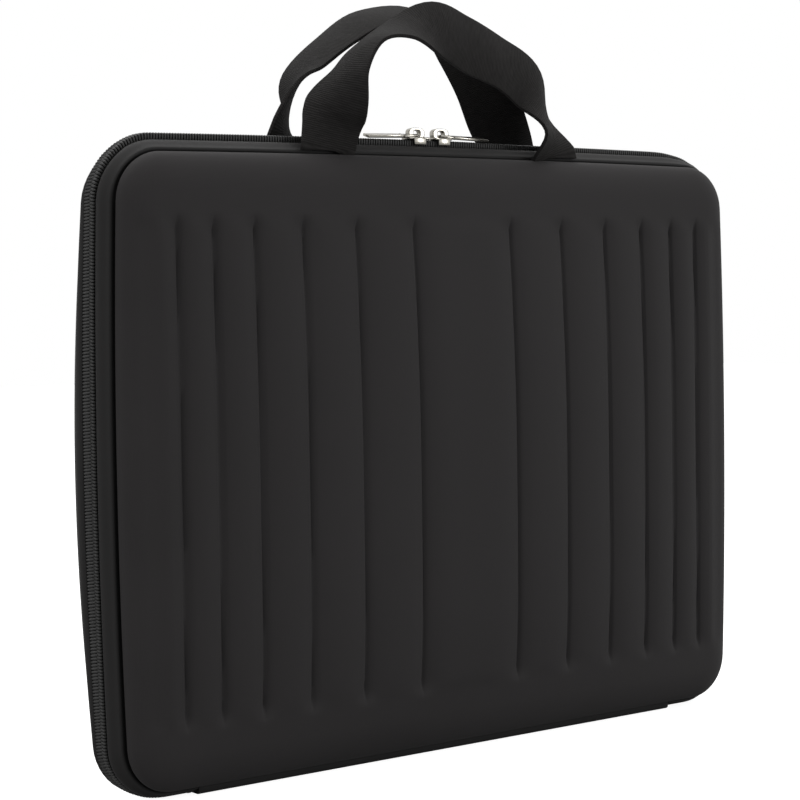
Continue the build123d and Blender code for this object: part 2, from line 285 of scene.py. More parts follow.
def draped_grid(name, across, along, place):
    """A primitive grid with its corners moved to place(a, b) for the values of both lists.

    The piece's UV map holds a and b in metres, so that a weave keeps its scale.
    """
    deselect_all()
    bpy.ops.mesh.primitive_grid_add(
        x_subdivisions=len(across) - 1, y_subdivisions=len(along) - 1, size=2.0)
    piece = named(bpy.context.object, name)
    stations = []
    for vertex in piece.data.vertices:
        i = round((vertex.co.x + 1) / 2 * (len(across) - 1))
        j = round((vertex.co.y + 1) / 2 * (len(along) - 1))
        stations.append((across[i], along[j]))
        vertex.co = place(across[i], along[j])
    uv = piece.data.uv_layers.active
    for loop in piece.data.loops:
        uv.data[loop.index].uv = stations[loop.vertex_index]
    return piece


def turn_outwards(sheet, way):
    """Turns an open sheet's faces so that its middle one looks the way of a vector."""
    faces = sheet.data.polygons
    if faces[len(faces) // 2].normal.dot(way) < 0:
        sheet.data.flip_normals()


def apply_modifier(piece, kind, **settings):
    """Adds a modifier, sets it and applies it."""
    select_only(piece)
    modifier = piece.modifiers.new(kind.title(), kind)
    for key, value in settings.items():
        setattr(modifier, key, value)
    bpy.ops.object.modifier_apply(modifier=modifier.name)
    return piece


def in_edit_mode(piece, *steps):
    """Runs mesh operators on everything in a piece."""
    select_only(piece)
    bpy.ops.object.mode_set(mode="EDIT")
    bpy.ops.mesh.select_all(action="SELECT")
    for step in steps:
        step()
    bpy.ops.object.mode_set(mode="OBJECT")
    return piece


def face_out(piece):
    """Turns a closed piece's faces outwards."""
    return in_edit_mode(piece, lambda: bpy.ops.mesh.normals_make_consistent(inside=False))


def thicken(piece, thickness, offset=-1.0, **settings):
    """Gives a sheet its thickness, behind its face with the offset of -1."""
    return apply_modifier(piece, "SOLIDIFY", thickness=thickness, offset=offset, **settings)


def round_edges(piece, width, segments=2, angle=40):
    return apply_modifier(piece, "BEVEL", width=width, segments=segments,
                          limit_method="ANGLE", angle_limit=math.radians(angle))


def smooth(piece, angle=50):
    select_only(piece)
    bpy.ops.object.shade_smooth_by_angle(angle=math.radians(angle))
    return piece


def moved(piece, x, y, z):
    piece.data.transform(Matrix.Translation((x, y, z)))
    return piece


def join(name, pieces):
    deselect_all()
    for piece in pieces:
        piece.select_set(True)
    bpy.context.view_layer.objects.active = pieces[0]
    bpy.ops.object.join()
    return named(pieces[0], name)


def rounded_block(length, width, height, radius, segments=2):
    """A block about the origin with its edges rounded."""
    deselect_all()
    bpy.ops.mesh.primitive_cube_add(size=1.0)
    piece = bpy.context.object
    piece.data.transform(Matrix.Diagonal((length, width, height, 1)))
    return in_edit_mode(piece, lambda: bpy.ops.mesh.bevel(offset=radius, segments=segments))


def flip_to_rear(piece):
    """Mirrors a piece's mesh through the zip's plane, with its faces outwards."""
    piece.data.transform(Matrix.Diagonal((1, -1, 1, 1)))
    piece.data.flip_normals()
    return piece


def bow_ends(piece):
    """Bows the ends of the zip and the rear half out and back, as their soft rims do."""
    for vertex in piece.data.vertices:
        x, y, z = vertex.co
        v = clamp((z - MID_Z) / HALF_H, -1.0)
        share = (1 - v * v) * smoothstep((abs(x) / HALF_W - 0.6) / 0.4)
        out = smoothstep((y + COIL_IN_Y) / (SEAM_Y + COIL_IN_Y))
        puff = smoothstep((abs(x) / HALF_W - 0.9) / 0.1) * smoothstep(y / (5 * MM))
        puff *= smoothstep((SEAM_Y - y) / (3 * MM))
        vertex.co.x += math.copysign(REAR_BOW_OUT * share * out + REAR_PUFF * puff, x)
        vertex.co.y += REAR_BOW_BACK * share * smoothstep((y - BAND_RIM_Y) / (5 * MM))
    return piece


def dress(piece, material, slot, body, *nodes):
    """Gives a finished piece its material and its body, and hides its CAD nodes; the slot is not
    used.
    """
    piece.data.materials.clear()
    piece.data.materials.append(material)
    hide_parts(*nodes)
    if body:
        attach(piece, body)


def dress_halves(front, material, slot, node, angle=50):
    """Finishes a front piece and its mirrored copy for the rear half, which has its own mesh."""
    smooth(front, angle)
    select_only(front)
    bpy.ops.object.duplicate()
    rear = named(bpy.context.object, front.name.replace("front", "rear"))
    bow_ends(flip_to_rear(rear))
    for piece, side in ((front, "front"), (rear, "rear")):
        dress(piece, material, slot, f"{side}_half", f"{side}_{node}")


# ---- Materials ----

WAVE_UNIT = 2 * math.pi / 20   # the period of a wave texture's bands at a scale of 1
ZIP_TAPE_COLOUR = (0.022, 0.022, 0.023)
BINDING_COLOUR = (0.028, 0.028, 0.029)
POCKET_EDGE_COLOUR = (0.024, 0.024, 0.025)
CORNER_STRAP_COLOUR = (0.028, 0.028, 0.029)
BAND_COLOURS = {"band_fabric": (0.0138, 0.0133, 0.0132), "spine_fabric": (0.0155, 0.0150, 0.0151)}


def add_node(tree, kind, inputs, output=0, **settings):
    """Adds a shader node with values or links in its inputs, and returns one of its outputs."""
    node = tree.nodes.new("ShaderNode" + kind)
    for key, value in settings.items():
        setattr(node, key, value)
    for key, value in inputs.items():
        if isinstance(value, bpy.types.NodeSocket):
            tree.links.new(value, node.inputs[key])
        else:
            node.inputs[key].default_value = value
    return node.outputs[output]


class Recipe:
    """A new procedural material with one Principled shader, and short ways to add nodes."""

    def __init__(self, name, colour, roughness, space="Object", turn=0, sheen=0.0, specular=0.5,
                 metallic=0.0):
        self.colour, self.space, self.turn = colour, space, math.radians(turn)
        self.material = bpy.data.materials.new(name)
        self.material.use_nodes = True
        self.material.diffuse_color = (*colour, 1)
        self.tree = self.material.node_tree
        self.sockets = self.tree.nodes["Principled BSDF"].inputs
        for socket, value in {"Base Color": (*colour, 1), "Roughness": roughness,
                              "Sheen Weight": sheen, "Specular IOR Level": specular,
                              "Metallic": metallic}.items():
            self.sockets[socket].default_value = value

    def node(self, kind, inputs, output=0, **settings):
        return add_node(self.tree, kind, inputs, output, **settings)

    def link(self, output, socket):
        self.tree.links.new(output, self.sockets[socket])

    def places(self, stretch=(1, 1, 1)):
        return self.node("Mapping", {"Vector": self.node("TexCoord", {}, self.space),
                                     "Scale": stretch, "Rotation": (0, 0, self.turn)})

    def noise(self, scale, detail=2, roughness=0.5, stretch=(1, 1, 1)):
        return self.node("TexNoise", {"Vector": self.places(stretch), "Scale": scale,
                                      "Detail": detail, "Roughness": roughness}, "Fac")

    def threads(self, pitch, direction, distortion=0.0, detail_scale=1.0):
        """Threads at a pitch in millimetres, side by side along a direction."""
        return self.node("TexWave", {"Vector": self.places(), "Scale": WAVE_UNIT / (pitch * MM),
                                     "Distortion": distortion, "Detail Scale": detail_scale},
                         "Fac", wave_type="BANDS", bands_direction=direction)

    def math(self, operation, first, second):
        return self.node("Math", {0: first, 1: second}, operation=operation)

    def ramp(self, value, low, high, start=0.0, end=1.0):
        """Maps value from start..end to low..high."""
        return self.node("MapRange", {"Value": value, "From Min": start, "From Max": end,
                                      "To Min": low, "To Max": high}, "Result")

    def mix(self, a, b, factor, how="MIX"):
        self.link(self.node("Mix", {"A": a, "B": b, "Factor": factor}, "Result",
                            data_type="RGBA", blend_type=how), "Base Color")

    def tint(self, value, *shares):
        """Varies the base colour between two shares of it."""
        self.mix(*[(*[c * share for c in self.colour], 1) for share in shares], value)

    def paint_shade(self, start, end, dark):
        """Darkens the base colour with painted shade by the UV map's second value: fully up to
        start, none at end.
        """
        along = self.node("SeparateXYZ", {"Vector": self.node("TexCoord", {}, "UV")}, "Y")
        self.mix(self.sockets["Base Color"].links[0].from_socket,
                 self.ramp(along, dark, 1.0, start, end), 1, "MULTIPLY")

    def roughen(self, value, low, high):
        self.link(self.ramp(value, low, high), "Roughness")

    def bump(self, height, depth):
        """Raises the surface by up to a depth in millimetres."""
        inputs = {"Height": height, "Distance": depth * MM, "Strength": 1.0}
        if self.sockets["Normal"].links:
            inputs["Normal"] = self.sockets["Normal"].links[0].from_socket
        self.link(self.node("Bump", inputs), "Normal")


def woven(name, colour, pitch, roughness, specular, depth, seam=None):
    """A plain weave with a soft mottle, with painted shade up to the length seam across its own UV
    map, for the seam's recess.
    """
    recipe = Recipe(name, colour, roughness, sheen=0.03, specular=specular)
    threads = recipe.math("MULTIPLY", *[recipe.threads(pitch, way, 0.6) for way in "XZ"])
    mottle = recipe.noise(22, 4)
    recipe.tint(recipe.math("ADD", recipe.math("MULTIPLY", mottle, 0.7),
                            recipe.math("MULTIPLY", threads, 0.3)), 0.82, 1.22)
    recipe.roughen(mottle, roughness - 0.06, roughness + 0.06)
    recipe.bump(recipe.math("ADD", threads, recipe.noise(2500, 3)), depth)
    # Painted shade in the seam's recess: a quarter of the colour, fading out over 1.6 mm.
    if seam:
        recipe.paint_shade(seam, seam + 1.6 * MM, 0.25)
    return recipe.material


def shell_fabric(colour):
    return woven("moulded_fabric", colour, 0.55, 0.72, 0.12, 0.03)


def band_fabric(name, seam=None):
    """The side bands' or the spine's smooth fabric; given seam, it has painted shade along the
    seam's recess.
    """
    return woven(name, BAND_COLOURS[name], 0.5, 0.62, 0.15, 0.02, seam)


def webbing(colour, rib_pitch):
    """Ribbed webbing: cross ribs of weft with fine warp threads over them."""
    recipe = Recipe("ribbed_webbing", colour, 0.75, "UV", sheen=0.02, specular=0.04)
    ribs = recipe.threads(rib_pitch / MM, "X", 1.2, 0.6)
    worn = recipe.noise(260, 3, stretch=(2.2, 0.6, 1))
    recipe.tint(recipe.math("MULTIPLY", worn, recipe.math("ADD", ribs, 0.55)), 0.62, 1.7)
    recipe.roughen(recipe.noise(160, stretch=(9, 0.5, 1)), 0.62, 0.84)
    recipe.bump(ribs, 0.14)
    recipe.bump(recipe.threads(0.7, "Y", 0.8), 0.05)
    return recipe.material


def tape_fabric(name, colour):
    """A narrow woven tape with a herringbone run along it."""
    recipe = Recipe(name, colour, 0.8, "UV", 45, sheen=0.05, specular=0.2)
    recipe.tint(recipe.noise(300, 3), 0.75, 1.3)
    recipe.bump(recipe.threads(0.6, "X", 0.8), 0.05)
    return recipe.material


def brushed_knit(colour):
    """The inside's short-haired knit."""
    recipe = Recipe("brushed_knit", colour, 0.92, sheen=0.3, specular=0.1)
    hairs = recipe.noise(1600, 4, 0.7, (1, 1, 2.4))
    nap = recipe.math("ADD", recipe.noise(60, 3), 0.5)
    recipe.tint(recipe.math("MULTIPLY", hairs, nap), 0.7, 1.5)
    recipe.bump(hairs, 0.12)
    return recipe.material


def pocket_mesh(colour):
    """Knitted mesh with rows of small eyes."""
    recipe = Recipe("pocket_mesh", colour, 0.85, "UV", 45, specular=0.2)
    eyes = recipe.math("MULTIPLY", *[recipe.threads(2.2, way) for way in "XY"])
    recipe.tint(recipe.math("GREATER_THAN", eyes, 0.45), 1.35, 0.2)
    recipe.bump(recipe.math("SUBTRACT", 1.0, eyes), 0.25)
    return recipe.material


def elastic_band(colour):
    """Elastic with ribs along its length."""
    recipe = Recipe("ribbed_elastic", colour, 0.7, "UV", specular=0.25)
    recipe.tint(recipe.noise(400), 0.8, 1.25)
    recipe.bump(recipe.threads(1.3, "Y"), 0.2)
    recipe.bump(recipe.threads(0.8, "X", 0.5), 0.06)
    return recipe.material


def nylon(colour):
    recipe = Recipe("nylon_coil", colour, 0.5, specular=0.3)
    recipe.tint(recipe.noise(350), 0.75, 1.3)
    recipe.roughen(recipe.noise(900), 0.42, 0.62)
    return recipe.material


def nickel(colour):
    """Tumbled nickel plate with faint scratches, made once for the whole zip."""
    made = bpy.data.materials.get("nickel_plate")
    if made:
        return made
    recipe = Recipe("nickel_plate", colour, 0.18, metallic=1.0)
    recipe.roughen(recipe.noise(900, 4, stretch=(1, 3, 3)), 0.12, 0.30)
    recipe.bump(recipe.noise(260), 0.03)
    return recipe.material


# ---- Shells and linings ----

GROOVE_X = [x * MM for x in (32, 68, 100, 128, 151, 171)]   # distances from the middle
RIB_CREST = 0.6 * MM           # how far the ribs' crests stand above the dome
EDGE_GROOVE_X = 187 * MM       # the shallow valley next to each end
EDGE_GROOVE_DEPTH = 0.9 * MM
EDGE_GROOVE_REACH = 8 * MM
CREASE_REACH = 1.7 * MM
GROOVE_RUN_OUT = 9 * MM        # length over which a groove fades at its ends
GROOVE_STEPS = [x * MM for x in (0, 0.15, 0.45, 0.9, 1.7, 3.0, 5.0, 7.5)]
GROOVE_END_STEPS = [x * MM for x in (-12, -9, -6.5, -4.5, -3, -1.5, 0, 1.5, 3, 5)]
EDGE_STEPS = [x * MM for x in (0, 0.2, 0.6, 1.2, 2.0, 3.2, 5.0, 7.0, 9.0, 11.5, 14.5, 18.0)]
LINING_DEPTH = 3.65 * MM       # from a shell's face to the lining


def both_ways(values, gap):
    """Zero and the values that are more than a gap apart, with their opposites, in order."""
    kept = [0.0]
    for value in sorted(values):
        if value - kept[-1] > gap:
            kept.append(value)
    return [-value for value in reversed(kept[1:])] + kept


def shell_columns():
    """Where the shell's mesh has its upright lines: close together at edges and grooves."""
    xs = [HALF_W - step for step in EDGE_STEPS]
    xs += [groove + sign * step for groove in GROOVE_X for step in GROOVE_STEPS
           for sign in (-1, 1)]
    for left, right in zip([0.0, *GROOVE_X], [*GROOVE_X, HALF_W]):
        xs += spread(left, right, 6 * MM)[1:-1]
    return both_ways((round(x, 6) for x in xs), 0.12 * MM)


def shell_rows(groove_end):
    """Where the shell's mesh has its level lines, from the middle: close at the grooves' ends."""
    end = HALF_H - groove_end
    zs = [HALF_H - step for step in EDGE_STEPS] + [end + step for step in GROOVE_END_STEPS]
    zs += spread(0, end - 14 * MM, 9 * MM)[1:]
    return both_ways((round(z, 6) for z in zs), 0.15 * MM)


def lining_lines(half):
    """Where a lining's mesh has its lines across a length: close together at both edges."""
    lines = {sign * (half - step) for sign in (-1, 1) for step in EDGE_STEPS}
    lines.update(spread(20 * MM - half, half - 20 * MM, 9 * MM))
    return sorted({round(line, 6) for line in lines})


def corner_squeeze(a, b, corner):
    """Moves a point of the full rectangle into the round-cornered one.

    Returns x, z from the middle, and the distance inside the outline.
    """
    p = (abs(a) - (HALF_W - corner)) / corner
    q = (abs(b) - (HALF_H - corner)) / corner
    if p <= 0 or q <= 0:
        return a, b, min(HALF_W - abs(a), HALF_H - abs(b))
    px, qz = p * math.sqrt(1 - q * q / 2), q * math.sqrt(1 - p * p / 2)
    inside = corner * (1 - math.hypot(px, qz))
    x = math.copysign(HALF_W - corner + corner * px, a)
    z = math.copysign(HALF_H - corner + corner * qz, b)
    return x, z, max(0.0, inside)


def dome(x, z, bulge):
    """The face's soft bulge, a little fuller towards the bottom."""
    u, v = abs(x) / HALF_W, z / HALF_H
    return bulge * (1 - u * u) * (1 - (v * v if v > 0 else v ** 4))


def groove_sag(x, z, shells):
    """How far the ribbed face lies under the dome at a point measured from the middle."""
    fade = smoothstep((HALF_H - shells.groove_end - abs(z)) / GROOVE_RUN_OUT)
    depth = shells.groove_depth + RIB_CREST
    sag = 0.0
    for i, groove in enumerate(GROOVE_X):
        for centre in (-groove, groove):
            distance = abs(x - centre)
            if i + 1 < len(GROOVE_X) and abs(x) > groove:
                reach = (GROOVE_X[i + 1] - groove) / 2
            else:
                reach = (groove - GROOVE_X[i - 1]) / 2 if i else groove
            reach = min(shells.rib_round, reach)
            if distance < reach:
                sag = max(sag, depth * (1 - distance / reach) ** 2)
            if distance < CREASE_REACH:
                sag += shells.crease * (1 - distance / CREASE_REACH)
    edge = abs(abs(x) - EDGE_GROOVE_X) / EDGE_GROOVE_REACH
    if edge < 1:
        sag += EDGE_GROOVE_DEPTH * (1 + math.cos(math.pi * edge)) / 2
    crest = RIB_CREST * smoothstep((HALF_W - 4 * MM - abs(x)) / (20 * MM))
    return (sag - crest) * fade


def shell_surface(shells, sink=0.0):
    """The shell's smooth outer surface as a function of flat places, or one sunk under it."""

    def place(a, b):
        x, z, inside = corner_squeeze(a, b, shells.corner)
        t = 1 - min(inside, shells.shoulder) / shells.shoulder
        rise = math.sqrt(max(0.0, 1 - t * t))
        depth = SEAM_Y + shells.rise * rise + dome(x, z, shells.bulge) - sink * min(1, 0.3 + rise)
        pull = sink * t * t / (math.hypot(x, z) or 1.0)
        x *= 1 - pull * (abs(x) / HALF_W > 0.5)
        z *= 1 - pull * (abs(z) / HALF_H > 0.5)
        x, z = bowed(x, MID_Z + z)
        return Vector((x, -depth, z))

    return place


def tuck_rim(piece, *steps):
    """Rolls the open rim of a shell into the seam, by (inwards, towards the zip) steps."""
    round_w, round_h = HALF_W - 30 * MM, HALF_H - 30 * MM
    select_only(piece)
    bpy.ops.object.mode_set(mode="EDIT")
    bpy.ops.mesh.select_mode(type="EDGE")
    bpy.ops.mesh.select_all(action="SELECT")
    bpy.ops.mesh.region_to_loop()
    for inwards, towards_zip in steps:
        bpy.ops.mesh.extrude_edges_move()
        mesh = bmesh.from_edit_mesh(piece.data)
        for vertex in mesh.verts:
            if vertex.select:
                x, z = vertex.co.x, vertex.co.z - MID_Z
                out = Vector((x - clamp(x, -round_w, round_w), 0, z - clamp(z, -round_h, round_h)))
                vertex.co -= out.normalized() * inwards
                vertex.co.y += towards_zip
        bmesh.update_edit_mesh(piece.data)
    bpy.ops.object.mode_set(mode="OBJECT")


def carve_ribs(piece, count, shells):
    """Sinks the grooves into the first vertices of a shell, those of its outer face."""
    for vertex in list(piece.data.vertices)[:count]:
        x, z = vertex.co.x, vertex.co.z - MID_Z
        inside = min(HALF_W - abs(x), HALF_H - abs(z))
        ripple = noise.noise(Vector((x * 28, 3.7, z * 9))) * 0.16 * MM
        vertex.co.y += groove_sag(x, z, shells) + ripple * clamp((inside - 4 * MM) / (12 * MM))


class CASE_OT_shells(bpy.types.Operator):
    """Models the two moulded shells with their domed, grooved faces"""

    bl_idname = "case.shells"
    bl_label = "Moulded shells"

    def execute(self, context):
        shells = context.scene.case_shells
        front = draped_grid("front_moulded_shell", shell_columns(), shell_rows(shells.groove_end),
                            shell_surface(shells))
        turn_outwards(front, Vector((0, -1, 0)))
        face_count = len(front.data.vertices)
        tuck_rim(front, (0.4 * MM, 0.3 * MM), (0.6 * MM, 0.2 * MM), (1.0 * MM, -0.1 * MM))
        thicken(front, shells.wall)
        carve_ribs(front, face_count, shells)
        dress_halves(front, shell_fabric(shells.colour), "shell_fabric", "shell", 60)
        return {"FINISHED"}


class CASE_OT_linings(bpy.types.Operator):
    """Models the brushed linings inside the shells and the binding tape over their edges"""

    bl_idname = "case.linings"
    bl_label = "Linings and bindings"

    def execute(self, context):
        shells = context.scene.case_shells
        lining = draped_grid("front_brushed_lining", lining_lines(HALF_W), lining_lines(HALF_H),
                             shell_surface(shells, LINING_DEPTH))
        turn_outwards(lining, Vector((0, -1, 0)))
        thicken(lining, 1.0 * MM)
        knit = brushed_knit(context.scene.case_inside.lining)
        dress_halves(lining, knit, "lining_fabric", "lining", 60)

        low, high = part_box("front_seam_binding")
        out = high.x - SHELL_HIGH.x
        profile = [*beside(-high.y, out, (0.3, -0.15), (0, -0.5), (0.3, -0.85), (1.2, -1.05)),
                   *beside(-low.y, out, (-1.2, -1.1), (-0.3, -0.85), (0, -0.5), (-0.3, -0.15))]
        binding = swept("front_binding_tape", seam_track(shells.corner), profile)
        tape = tape_fabric("binding_tape", BINDING_COLOUR)
        dress_halves(binding, tape, "binding_tape", "seam_binding")
        return {"FINISHED"}


# ---- Side bands, tapes, coils and spine ----


def swept(name, track, profile, cap=False):
    """A closed profile of (distance from the zip, growth) swept along the seam's track."""
    profile = [*profile, profile[0]]
    lengths = running_lengths(profile)
    by_length = {round(p[4], 7): p for p in track}
    by_measure = dict(zip([round(v, 7) for v in lengths], profile))

    def place(a, b):
        y, grow = by_measure[round(b, 7)]
        return on_track(by_length[round(a, 7)], grow, y)

    piece = draped_grid(name, [p[4] for p in track], lengths, place)
    in_edit_mode(piece, lambda: bpy.ops.mesh.remove_doubles(threshold=0.01 * MM))
    if cap:
        in_edit_mode(piece, bpy.ops.mesh.region_to_loop, bpy.ops.mesh.edge_face_add)
    return face_out(piece)


class CASE_OT_side_bands(bpy.types.Operator):
    """Models the smooth side bands that run from each shell's seam to the zip"""

    bl_idname = "case.side_bands"
    bl_label = "Side bands"

    def execute(self, context):
        track = seam_track(context.scene.case_shells.corner, SPINE_CUT, step=8 * MM)
        # The band's edge rolls in beside the seam and runs on under the shell's rim.
        lip = SEAM_Y - SEAM_GAP
        profile = [
            *beside(SEAM_Y, 0, (0.4, -2.7)), *beside(lip, 0, (0.2, -2.5), (-0.1, -1)),
            *bezier(*beside(lip, 0, (0, 0), (0.7, 0.9), (0.5, 2), (-0.6, 2.75)), 7),
            *bezier(*beside(lip, 0, (-1.2, 3.35), (-2.2, 4.4)),
                    *beside(BAND_EDGE_Y, BAND_OUT, (2.4, -0.15), (0.7, 0)), 6),
            *beside(BAND_EDGE_Y, BAND_OUT, (0, -0.45), (0, -1.3)),
            *beside(BAND_RIM_Y, BAND_OUT, (2.4, -3.2)),
            *beside(lip, 0, (-1.3, -0.2), (-1.3, -3.2)), *beside(SEAM_Y, 0, (0.4, -3.2))]
        front = swept("front_band_cover", track, profile, cap=True)
        for vertex in front.data.vertices:
            over = (vertex.co.z - SEAM_HIGH - TOP_CROWN) / BAND_OUT
            vertex.co.z -= TOP_BAND_DIP * smoothstep(over)
        # Painted shade darkens the band's fabric in the seam's recess, over the first 5.4 to 7 mm
        # of its profile.
        fabric = band_fabric("band_fabric", seam=5.4 * MM)
        dress_halves(front, fabric, "band_fabric", "side_band")
        return {"FINISHED"}


class CASE_OT_zip(bpy.types.Operator):
    """Models the zip's tapes, the turns of its two interlocked coils and the end stops"""

    bl_idname = "case.zip"
    bl_label = "Zip tapes and coils"

    def execute(self, context):
        settings = context.scene.case_zip
        corner = context.scene.case_shells.corner
        out = TAPE_HIGH.x - SHELL_HIGH.x
        edge, sewn = -TAPE_HIGH.y, -TAPE_LOW.y
        profile = [*beside(edge, out, (0, -0.3), (0.1, 0)), (BAND_RIM_Y, out),
                   *beside(sewn, out, (0, -2.05), (0, -2.65)),
                   *beside(BAND_RIM_Y, out, (0, -0.6)), *beside(edge, out, (0.1, -0.6))]
        tape = swept("front_tape_strip", seam_track(corner, SPINE_CUT, step=8 * MM), profile,
                     cap=True)
        cloth = tape_fabric("zip_tape", ZIP_TAPE_COLOUR)
        dress_halves(tape, cloth, "zip_tape", "zip_tape")

        coil_nylon = nylon(settings.colour)
        metal = nickel(settings.metal)
        turns = coil_turns(settings, corner)
        for start, side in enumerate(("front", "rear")):
            coil = coil_piece(f"{side}_coil_turns", settings, turns[start::2])
            if side == "rear":
                flip_to_rear(coil)
            smooth(bow_ends(coil))
            dress(coil, coil_nylon, "zip_coil", f"{side}_half", f"{side}_zip_coil")

        for side in ("front", "rear"):
            low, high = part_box(f"{side}_zip_end_stops")
            stops = [moved(rounded_block(2.6 * MM, high.y - low.y, 2.6 * MM, 0.5 * MM),
                           sign * (high.x - 1.35 * MM), (low.y + high.y) / 2, low.z + 1.3 * MM)
                     for sign in (-1, 1)]
            pair = smooth(join(f"{side}_crimped_stops", stops))
            dress(pair, metal, "zip_metal", f"{side}_half", f"{side}_zip_end_stops")
        return {"FINISHED"}


def coil_turns(settings, corner):
    """Turns every half pitch along the zip as (centre, unit vectors along and out, lift)."""
    track = seam_track(corner, SPINE_CUT + 3.2 * MM, step=4 * MM, corner_steps=24)
    points = [on_track(place, COIL_OUT - COIL_HEIGHT / 2, 0.0) for place in track]
    for place, point in zip(track, points):
        point.z += max(0.0, -place[3]) * (1 - BOTTOM_SHARE) * COIL_HEIGHT / 2
    lengths = running_lengths(points)
    step = settings.pitch / 2
    turns, k = [], 0
    for i in range(int((lengths[-1] - settings.pitch) / step)):
        wanted = step * (1 + i)
        while lengths[k + 1] < wanted:
            k += 1
        t = (wanted - lengths[k]) / (lengths[k + 1] - lengths[k])
        along = (points[k + 1] - points[k]).normalized()
        before, after = (Vector((place[2], 0, place[3])) for place in track[k:k + 2])
        out = before.lerp(after, t)
        out = (out - along * out.dot(along)).normalized()
        centre = points[k].lerp(points[k + 1], t)
        turns.append((centre, along, out, top_lift(centre.x, out.z)))
    return turns


def coil_piece(name, settings, turns):
    """One coil: a rounded, leaning turn modelled once and copied along the zip."""
    reach = BAND_EDGE_Y - 0.5 * MM       # from the zip plane to a turn's outer side
    head = 0.5 * MM                      # how far a turn's head crosses the zip plane
    deselect_all()
    bpy.ops.mesh.primitive_uv_sphere_add(segments=8, ring_count=6, radius=0.5,
                                         rotation=(math.pi / 2, 0, 0))
    turn = bpy.context.object
    bpy.ops.object.transform_apply(location=False, rotation=True, scale=False)
    shape = []
    for vertex in turn.data.vertices:
        # A wire bent round the cord: full across its middle and blunt at both ends.
        x, y, z = (math.copysign(abs(2 * v) ** 0.75, v) / 2 for v in vertex.co)
        shape.append((x * settings.pitch * 1.05 + y * settings.slant,
                      (y - 0.5) * reach + (y + 0.5) * head, z * COIL_HEIGHT))
    sides = [tuple(p.vertices) for p in turn.data.polygons]
    bpy.data.objects.remove(turn)
    verts, faces = [], []
    for centre, along, out, lift in turns:
        first = len(verts)
        verts += [centre + along * x + Vector((0, y, 0)) + out * (z + lift * (z > -0.1 * MM))
                  for x, y, z in shape]
        faces += [tuple(first + i for i in side) for side in sides]
    mesh = bpy.data.meshes.new(name)
    mesh.from_pydata(verts, [], faces)
    piece = bpy.data.objects.new(name, mesh)
    bpy.context.scene.collection.objects.link(piece)
    return face_out(piece)


class CASE_OT_spine(bpy.types.Operator):
    """Models the fabric spine that joins the halves"""

    bl_idname = "case.spine"
    bl_label = "Fabric spine"

    def execute(self, context):
        lip = SEAM_Y - SEAM_GAP
        half = [*beside(0, 0, (0, 0), (2, 0), (4, 0), (6, 0)),
                *bezier(*beside(0, 0, (7, 0), (9, 0.1)), *beside(lip, 0, (-0.2, 1.4)),
                        *beside(lip, SEAM_LOW, (0, -0.4)), 8),
                *beside(lip, SEAM_LOW, (0.1, 0.6), (0.5, 2), (0.6, 2.9))]
        outer = [(-y, z) for y, z in reversed(half[1:])] + half
        by_measure = dict(zip(running_lengths(outer), outer))
        spine = draped_grid("spine_wrap", spread(-SPINE_HALF, SPINE_HALF, 4 * MM),
                            list(by_measure), lambda a, b: Vector((a, *by_measure[b])))
        turn_outwards(spine, Vector((0, 0, -1)))
        thicken(spine, 1.4 * MM)
        smooth(round_edges(spine, 0.35 * MM), 40)
        dress(spine, band_fabric("spine_fabric"), "spine_fabric", None,
              "front_spine", "rear_spine")
        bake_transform(spine)
        return {"FINISHED"}


# ---- Handles ----

# Centre points of each strap as (x, distance from the zip plane, height over the seat), and
# the way its width points there, from the outer edge to the inner edge (x, outwards, z), in
# millimetres; the last number is how far the strap is cupped there.
FRONT_STRAP = (
    ((-77, 11, 0), (1, 0, 0), 0),
    ((-75, 12, 12), (0.97, 0.2, 0), -0.5),
    ((-73.5, 15.5, 24), (0.55, 0.8, -0.1), -1),
    ((-68, 17, 39), (0, 1, 0), -1.5),
    ((-57, 17.5, 53), (-0.05, 1, 0.1), -2),
    ((-38, 19, 60.5), (-0.15, 0.95, -0.3), -2.5),
    ((-13.5, 21, 62.5), (-0.2, 0.35, -0.9), -2.5),
    ((9.5, 17, 56), (-0.2, 0.2, -0.95), -2),
    ((34, 14, 48.5), (-0.3, 0.3, -0.9), -2),
    ((54.5, 12.5, 37.5), (-0.65, 0.25, -0.75), -2),
    ((67, 12.5, 19), (-0.45, 0.65, -0.6), -1),
    ((73, 11, 0), (-1, 0, 0), 0),
)
REAR_STRAP = (
    ((-86, 11, 0), (1, 0, 0), 0),
    ((-86, 13, 12), (0.75, 0.6, -0.2), 0.5),
    ((-80, 15.5, 27.5), (0.45, 0.9, -0.2), 1),
    ((-71, 18, 42), (0, 1, 0), -1),
    ((-50, 17.5, 59), (-0.1, 1, 0.1), -2),
    ((-24, 18, 72), (0, 0.95, 0.3), -2),
    ((8, 16, 70.5), (0.25, 0.8, 0.5), -1.5),
    ((31, 17.5, 55), (0, 1, 0), -1),
    ((48.5, 17, 37.5), (-0.45, 0.85, -0.2), -1),
    ((58, 16, 18), (-0.85, 0.4, -0.3), -0.5),
    ((64, 11, 0), (-1, 0, 0), 0),
)


def through(values, t):
    """A smooth curve through evenly numbered values, at t from 0 to their last number."""
    last = len(values) - 1
    i = min(int(t), last - 1)
    f = t - i
    p0, p1, p2, p3 = (values[int(clamp(k, 0, last))] for k in range(i - 1, i + 3))
    return (p1 * 2 + (p2 - p0) * f + (p0 * 2 - p1 * 5 + p2 * 4 - p3) * f * f
            + (p1 * 3 - p0 - p2 * 3 + p3) * f * f * f) / 2


